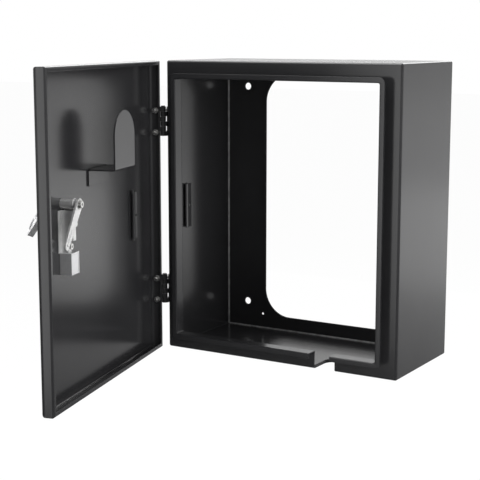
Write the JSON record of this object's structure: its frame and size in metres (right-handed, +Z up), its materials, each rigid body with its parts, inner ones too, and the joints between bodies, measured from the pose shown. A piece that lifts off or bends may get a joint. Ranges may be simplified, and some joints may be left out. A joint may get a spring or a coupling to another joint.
{
  "type": "electric vehicle charger lock box",
  "caption": "Black folded-steel wall cabinet with a hinged tray door, inside cable hook, swing-handle lock, large rear cut-out and a cable notch in the floor.",
  "frame": {"origin": "centre of the four wall-bolt holes, on the back face of the box", "axes": "+X to the right seen from the front, +Y into the wall, +Z up; the door hinges on the left"},
  "size_m": [0.383, 0.5093, 0.4],
  "materials": {
    "black_powder_coat": "fine satin black powder coat on folded steel sheet",
    "black_hinge_steel": "black electro-coated stamped hinge steel",
    "plated_steel": "bright zinc-plated steel",
    "silver_casting": "satin chrome on zinc casting",
    "zinc_stamping": "zinc-plated stamped steel",
    "nickel_plug": "nickel-plated brass",
    "black_rubber": "matt black rubber"
  },
  "bodies": {
    "box": {"body_shell": "black_powder_coat", "front_ring": "black_powder_coat", "rain_lip": "black_powder_coat", "notch_rim": "black_powder_coat", "back_panel": "black_powder_coat", "body_strip": "black_powder_coat", "lower_hinge_body_leaf": "black_hinge_steel", "upper_hinge_body_leaf": "black_hinge_steel", "lower_hinge_pin": "black_hinge_steel", "upper_hinge_pin": "black_hinge_steel", "body_hinge_screws": "plated_steel", "body_hinge_washers": "plated_steel", "body_hinge_nuts": "plated_steel"},
    "door": {"door_panel": "black_powder_coat", "cable_hook": "black_powder_coat", "door_strip": "black_powder_coat", "door_strip_pin": "plated_steel", "lower_hinge_door_leaf": "black_hinge_steel", "upper_hinge_door_leaf": "black_hinge_steel", "door_hinge_screws": "plated_steel", "door_hinge_washers": "plated_steel", "door_hinge_nuts": "plated_steel", "lock_gasket": "black_rubber", "lock_plate": "silver_casting", "tube_nut": "zinc_stamping", "clamp_bracket": "zinc_stamping", "clamp_screws": "plated_steel", "cylinder_housing": "silver_casting"},
    "latch": {"spindle": "silver_casting", "stop_collar": "zinc_stamping", "arm_spacer": "zinc_stamping", "latch_arm": "zinc_stamping", "latch_washer": "plated_steel", "latch_bolt": "plated_steel", "handle_pin": "plated_steel"},
    "handle": {"handle": "silver_casting"},
    "key_plug": {"key_plug": "nickel_plug"}
  },
  "joints": [
    {"name": "door_hinge", "type": "hinge", "parent": "box", "child": "door", "pos_m": [-0.18, -0.1615, 0], "axis": [0, 0, 1], "range_deg": [-104, 76]},
    {"name": "spindle_turn", "type": "hinge", "parent": "door", "child": "latch", "pos_m": [-0.11809, -0.44494, 0.04], "axis": [0.9703, 0.2419, 0], "range_deg": [-51, 39]},
    {"name": "handle_tilt", "type": "hinge", "parent": "latch", "child": "handle", "pos_m": [-0.14157, -0.4508, 0.04], "axis": [-0.1522, 0.6106, 0.7771], "range_deg": [-37, 23]},
    {"name": "key_turn", "type": "hinge", "parent": "door", "child": "key_plug", "pos_m": [-0.1375, -0.44978, -0.0305], "axis": [0.9703, 0.2419, 0], "range_deg": [0, 90]}
  ]
}
